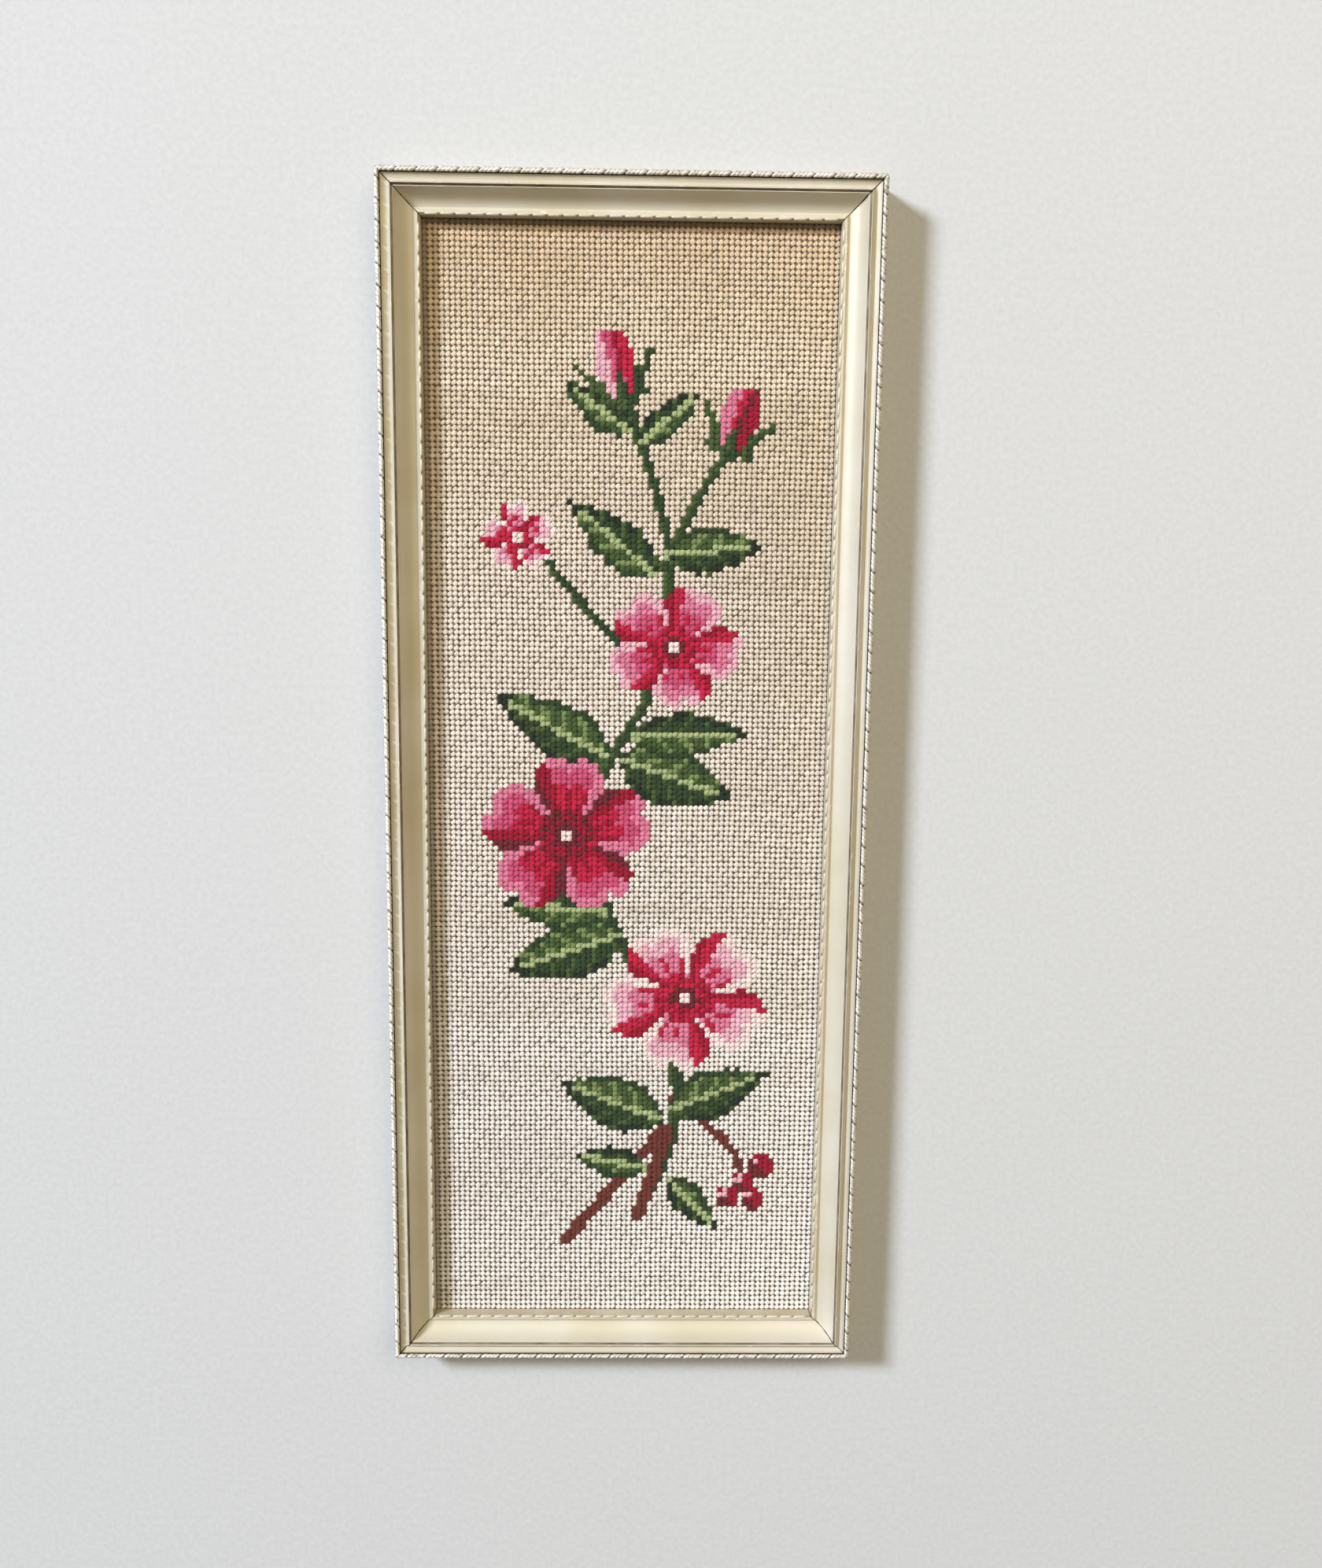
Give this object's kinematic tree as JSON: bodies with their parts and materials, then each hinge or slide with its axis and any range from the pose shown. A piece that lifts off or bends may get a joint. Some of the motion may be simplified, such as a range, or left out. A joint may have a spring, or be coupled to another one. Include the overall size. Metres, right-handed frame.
{
  "type": "needlepoint canvas panel in a picture frame",
  "caption": "Tall narrow needlepoint canvas with stitched flowers on a pale ground, held in a mitred cream-gold frame with a scooped moulding and a beaded rim.",
  "frame": {"origin": "centre of the frame's flat back, which is the surface it lies on", "axes": "+Y towards the top of the picture, +Z out of its face, +X to the viewer's right"},
  "size_m": [0.2284, 0.5688, 0.0211],
  "materials": {
    "frame_paint": "cream-gold satin paint with a slight metallic sheen, worn pale on the beading with dark hollows",
    "wool": "matt wool tent stitch on canvas, pale beige ground with pink, crimson, green and brown motifs"
  },
  "bodies": {
    "root": {"rail_top": "frame_paint", "rail_bottom": "frame_paint", "rail_left": "frame_paint", "rail_right": "frame_paint", "canvas": "wool"}
  },
  "joints": []
}
